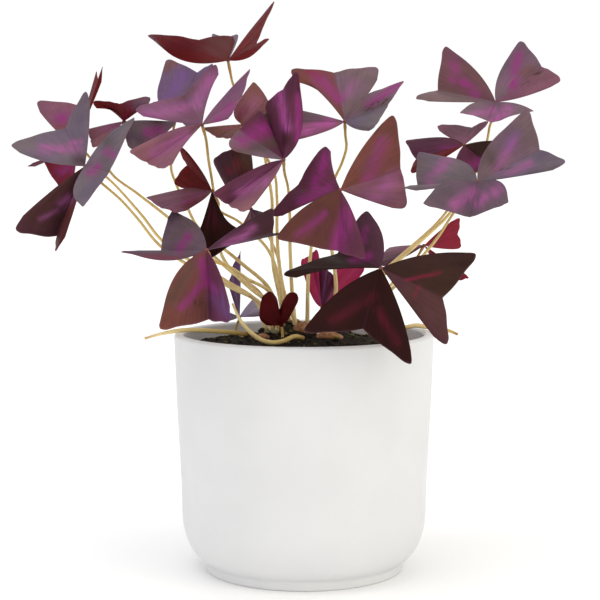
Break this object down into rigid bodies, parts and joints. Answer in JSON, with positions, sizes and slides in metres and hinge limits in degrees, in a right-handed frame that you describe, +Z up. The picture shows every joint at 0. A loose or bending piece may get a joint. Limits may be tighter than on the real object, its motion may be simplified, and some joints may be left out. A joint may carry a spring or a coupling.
{
  "type": "potted purple shamrock",
  "caption": "Purple shamrock with three-leaved purple leaves on thin straw-coloured stalks, in a soil-filled round white ceramic pot.",
  "frame": {"origin": "centre of the pot's foot, on the surface that it stands on", "axes": "+Z up out of the pot; -Y towards the viewer of the picture; +X to the viewer's right"},
  "size_m": [0.275, 0.1746, 0.2837],
  "materials": {
    "ceramic": "matte",
    "soil": "matte",
    "leaf_blade": "satin",
    "young_blade": "satin",
    "stalk": "satin",
    "rhizome": "matte"
  },
  "bodies": {
    "root": {"pot": "ceramic", "soil": "soil", "leaf_a_blade": "leaf_blade", "leaf_a_stalk": "stalk", "leaf_b_blade": "leaf_blade", "leaf_b_stalk": "stalk", "leaf_c_blade": "leaf_blade", "leaf_c_stalk": "stalk", "leaf_d_blade": "leaf_blade", "leaf_d_stalk": "stalk", "leaf_e_blade": "leaf_blade", "leaf_e_stalk": "stalk", "leaf_f_blade": "leaf_blade", "leaf_f_stalk": "stalk", "leaf_g_blade": "leaf_blade", "leaf_g_stalk": "stalk", "leaf_h_blade": "leaf_blade", "leaf_h_stalk": "stalk", "leaf_j_blade": "leaf_blade", "leaf_j_stalk": "stalk", "leaf_k_blade": "leaf_blade", "leaf_k_stalk": "stalk", "leaf_l_blade": "leaf_blade", "leaf_l_stalk": "stalk", "leaf_m_blade": "leaf_blade", "leaf_m_stalk": "stalk", "leaf_n_blade": "leaf_blade", "leaf_n_stalk": "stalk", "leaf_o_blade": "leaf_blade", "leaf_o_stalk": "stalk", "leaf_p_blade": "leaf_blade", "leaf_p_stalk": "stalk", "leaf_q_blade": "leaf_blade", "leaf_q_stalk": "stalk", "leaf_r_blade": "leaf_blade", "leaf_r_stalk": "stalk", "leaf_t_blade": "leaf_blade", "leaf_t_stalk": "stalk", "leaf_u_blade": "leaf_blade", "leaf_u_stalk": "stalk", "leaf_x_blade": "leaf_blade", "leaf_x_stalk": "stalk", "young_leaf_blade": "young_blade", "young_leaf_stalk": "stalk", "bare_stalk_left": "stalk", "bare_stalk_front": "stalk", "bare_stalk_right": "stalk", "rhizome_1": "rhizome", "rhizome_2": "rhizome", "rhizome_3": "rhizome"}
  },
  "joints": []
}
